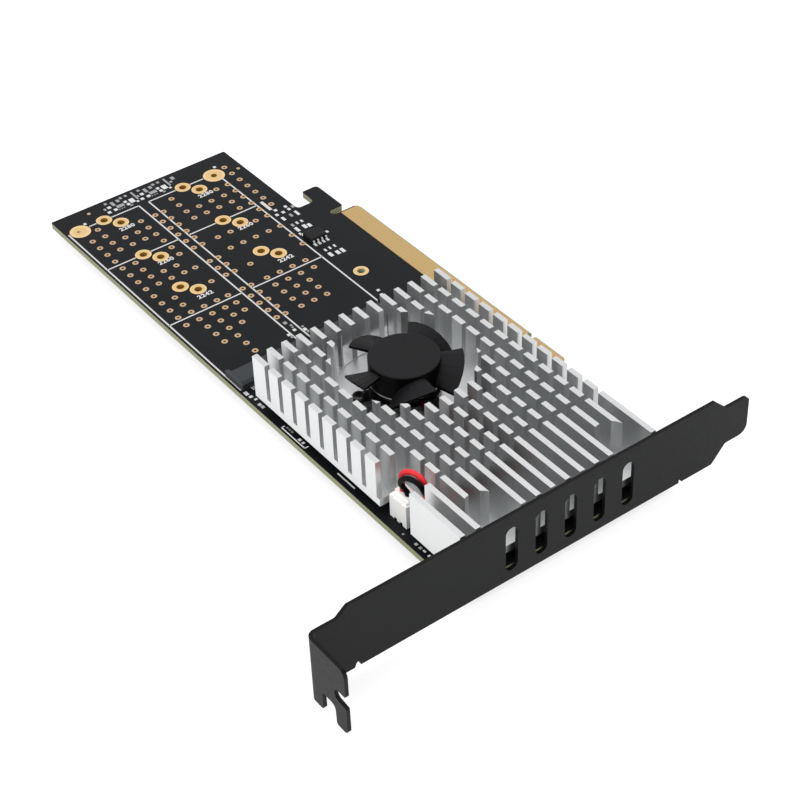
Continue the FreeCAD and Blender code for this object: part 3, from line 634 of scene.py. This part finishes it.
EDGE_PADS = (
    (-40.4, 66.5, 0.8, 0.7), (-41.9, 66.5, 0.8, 0.7), (19.8, 66.7, 0.9, 0.8), (18.6, 66.6, 0.9, 0.8),
    (25.2, 66.9, 1.5, 0.9), (23.5, 66.7, 0.8, 0.9), (22.0, 66.3, 0.6, 0.8),
)
CORNER_MARKS = ((110.8, 61.3, 0.9, 0.8), (112.0, 20.0, 0.9, 0.8))
TEST_POINTS = ((114.3, 58.1), (107.3, 15.3))
TEST_POINT_R = 0.5

# Pads under the memory chip's leads, in two rows of four
LEAD_X = (64.4, 70.1)
LEAD_Y = 17.7
LEAD_PITCH = 1.27
LEAD_STEPS = (-1.5, -0.5, 0.5, 1.5)
LEAD_PAD = (1.3, 0.7)


def solder_pads():
    pads = list(CHIP_PADS + SINK_PADS + EDGE_PADS)
    marks = list(CHIP_MARKS + SINK_MARKS)
    for shift in FAR_SHIFTS:
        pads += [(x, y + shift, wide, deep) for x, y, wide, deep in FAR_PADS]
        marks += [(x, y + shift, wide, deep) for x, y, wide, deep in FAR_MARKS]
    marks += LOW_MARKS
    for x in LEAD_X:
        pads += [(x, LEAD_Y + step * LEAD_PITCH, *LEAD_PAD) for step in LEAD_STEPS]
    add_patches("solder_pads", pads, SOLDER_T, "tin")
    add_patches("printed_marks", marks, PRINT_T, "dim_print")
    add_patches("corner_marks", CORNER_MARKS, PRINT_T, "print")
    points = [(x, y, 0.0, TEST_POINT_R) for x, y in TEST_POINTS]
    add_rings("test_points", points, FACE, VIA_T, "via", "via", 20)


def socket_box(name):
    low, high = (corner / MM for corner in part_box(name))
    return low, high, (low.y + high.y) / 2, "rear" in name


# Housings of the sockets, as profiles over the board's face, turned over for those under the board.
def socket_housings():
    slot_low, slot_high = SLOT_Z
    for name in SOCKETS:
        low, high, middle, rear = socket_box(name)
        x0, x1 = low.x, high.x
        inner = x1 - SLOT_DEPTH
        roof = x0 + ROOF_X
        key = middle + (-KEY_Y if rear else KEY_Y)
        y0, y1 = low.y + END_WALL, high.y - END_WALL
        block = ((x0, 0.0), (inner, 0.0), (inner, SOCKET_H), (x0 + 0.7, SOCKET_H), (x0, 1.8))
        cover = ((inner, slot_high), (roof, slot_high), (roof, 2.15), (roof - 0.25, SOCKET_H),
                 (inner, SOCKET_H))
        shelf = ((inner, 0.0), (x1, 0.0), (x1, 0.6), (x1 - 0.3, 0.8), (inner, slot_low))
        wall = ((inner, 0.0), (x1, 0.0), (x1, 1.6), (x1 - 0.5, 2.05), (roof - 0.3, SOCKET_H),
                (inner, SOCKET_H))
        rib = ((inner, slot_low), (roof, slot_low), (roof, slot_high), (inner, slot_high))
        spans = [(block, low.y, high.y), (cover, y0, y1), (shelf, y0, y1), (wall, low.y, y0),
                 (wall, y1, high.y), (rib, key - KEY_HALF_W, key + KEY_HALF_W)]
        if rear:
            spans = [([(x, REAR - z) for x, z in reversed(profile)], start, end)
                     for profile, start, end in spans]
        piece = add_prisms(name + "_housing", spans, "socket_plastic")
        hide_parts(name)


# Springs of the sockets, above and below the drive's edge.
def socket_springs():
    bars = []
    for name in SOCKETS:
        low, high, middle, rear = socket_box(name)
        x0, x1 = (high.x + x for x in SPRING_X)
        for i in range(SPRINGS):
            y = middle + (i - (SPRINGS - 1) / 2) * SPRING_PITCH
            for level in SPRING_Z:
                z0 = REAR - level - SPRING_T if rear else level
                bars.append((x0, x1, y - SPRING_HALF_W, y + SPRING_HALF_W, z0, z0 + SPRING_T))
    add_boxes("socket_springs", bars, "gold")


# Steel rim of the rotor's yoke, which shows as a thin bright line under the hub.
def hub_rim():
    low, high = (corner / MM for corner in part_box("fan_yoke"))
    yoke_r = (high.x - low.x) / 2
    ring = ((low.x + high.x) / 2, (low.y + high.y) / 2, yoke_r + RIM_CLEAR, HUB_R + RIM_PROUD)
    z0, z1 = (HUB_Z0 + z for z in RIM_Z)
    add_rings("fan_rim", [ring], z0, z1, "rim_steel", "rim_steel", RIM_STEPS, "fan_rotor")


def edge_band():
    add_boxes("edge_band", [(*span, *BAND_Y, FACE, BAND_T) for span in BAND_X], "band")


drive_pads()
vias()
hub_rim()
printing()
rear_printing()
near_edge_printing()
for label, x in NUMBERS:
    for y in NUMBER_Y:
        printed_number("number_" + label + "_" + str(round(y)), label, x, y)
solder_pads()
socket_housings()
socket_springs()
edge_band()


def soft_light(name, place, target, size, watts):
    lamp = bpy.data.lights.new(name, "AREA")
    lamp.shape = "SQUARE"
    lamp.size = size
    lamp.energy = watts
    holder = bpy.data.objects.new(name, lamp)
    scene.collection.objects.link(holder)
    holder.location = place
    aim = Vector(target) - Vector(place)
    holder.rotation_mode = "QUATERNION"
    holder.rotation_quaternion = aim.to_track_quat("-Z", "Y")


# One for a ray that the camera, a mirror or clear plastic sends, and nought for light on the object.
def seen_directly(tree):
    path = tree.nodes.new("ShaderNodeLightPath")
    total = path.outputs["Is Camera Ray"]
    for name in ("Is Glossy Ray", "Is Transmission Ray"):
        larger = tree.nodes.new("ShaderNodeMath")
        larger.operation = "MAXIMUM"
        tree.links.new(total, larger.inputs[0])
        tree.links.new(path.outputs[name], larger.inputs[1])
        total = larger.outputs["Value"]
    return total


def floor_material():
    mat = shader("floor", (0.38, 0.38, 0.38), 0.9, specular=0.0)
    tree = mat.node_tree
    tree.nodes["Principled BSDF"].inputs["Emission Color"].default_value = (1.0, 1.0, 1.0, 1.0)
    feed(mat, ranged(tree, seen_directly(tree), 0.0, FLOOR_GLOW), "Emission Strength")
    return mat


# White floor and sky, a large soft key from the near edge's side, and a softer light from above.
def surroundings():
    mesh = bpy.data.meshes.new("floor")
    z = start_low.z - 0.0001
    mesh.from_pydata([(-6, -6, z), (6, -6, z), (6, 6, z), (-6, 6, z)], [], [(0, 1, 2, 3)])
    mesh.materials.append(floor_material())
    floor = bpy.data.objects.new("floor", mesh)
    scene.collection.objects.link(floor)
    world = bpy.data.worlds.new("sky")
    scene.world = world
    world.use_nodes = True
    tree = world.node_tree
    tree.nodes.clear()
    sky = tree.nodes.new("ShaderNodeBackground")
    sky.inputs["Color"].default_value = (1.0, 1.0, 1.0, 1.0)
    sky.inputs["Strength"].default_value = 1.0
    out = tree.nodes.new("ShaderNodeOutputWorld")
    tree.links.new(sky.outputs["Background"], out.inputs["Surface"])
    middle = (0.02, 0.03, 0.0)
    soft_light("key", (0.05, 0.95, 0.75), middle, 0.8, 3.2)
    soft_light("above", (0.15, -0.1, 1.1), middle, 0.9, 3.0)


# The photo's camera, from the sizes of the card in the picture.
def photo_camera():
    right = Vector((-0.59924901, -0.7999323, -0.03176374))
    down = Vector((-0.49725115, 0.40301176, -0.76832468))
    ahead = Vector((0.62740889, -0.44462324, -0.63927166))
    place = Matrix.Translation((-0.29097624, 0.24677692, 0.29704925))
    data = bpy.data.cameras.new("photo_camera")
    data.sensor_width = 36.0
    data.lens = FOCAL / PHOTO_W * data.sensor_width
    data.clip_start = 0.01
    data.clip_end = 20.0
    camera = bpy.data.objects.new("photo_camera", data)
    scene.collection.objects.link(camera)
    turn = Matrix((right, -down, -ahead)).transposed()
    camera.matrix_world = place @ turn.to_4x4()
    scene.camera = camera


surroundings()
photo_camera()
scene.view_settings.view_transform = "Standard"
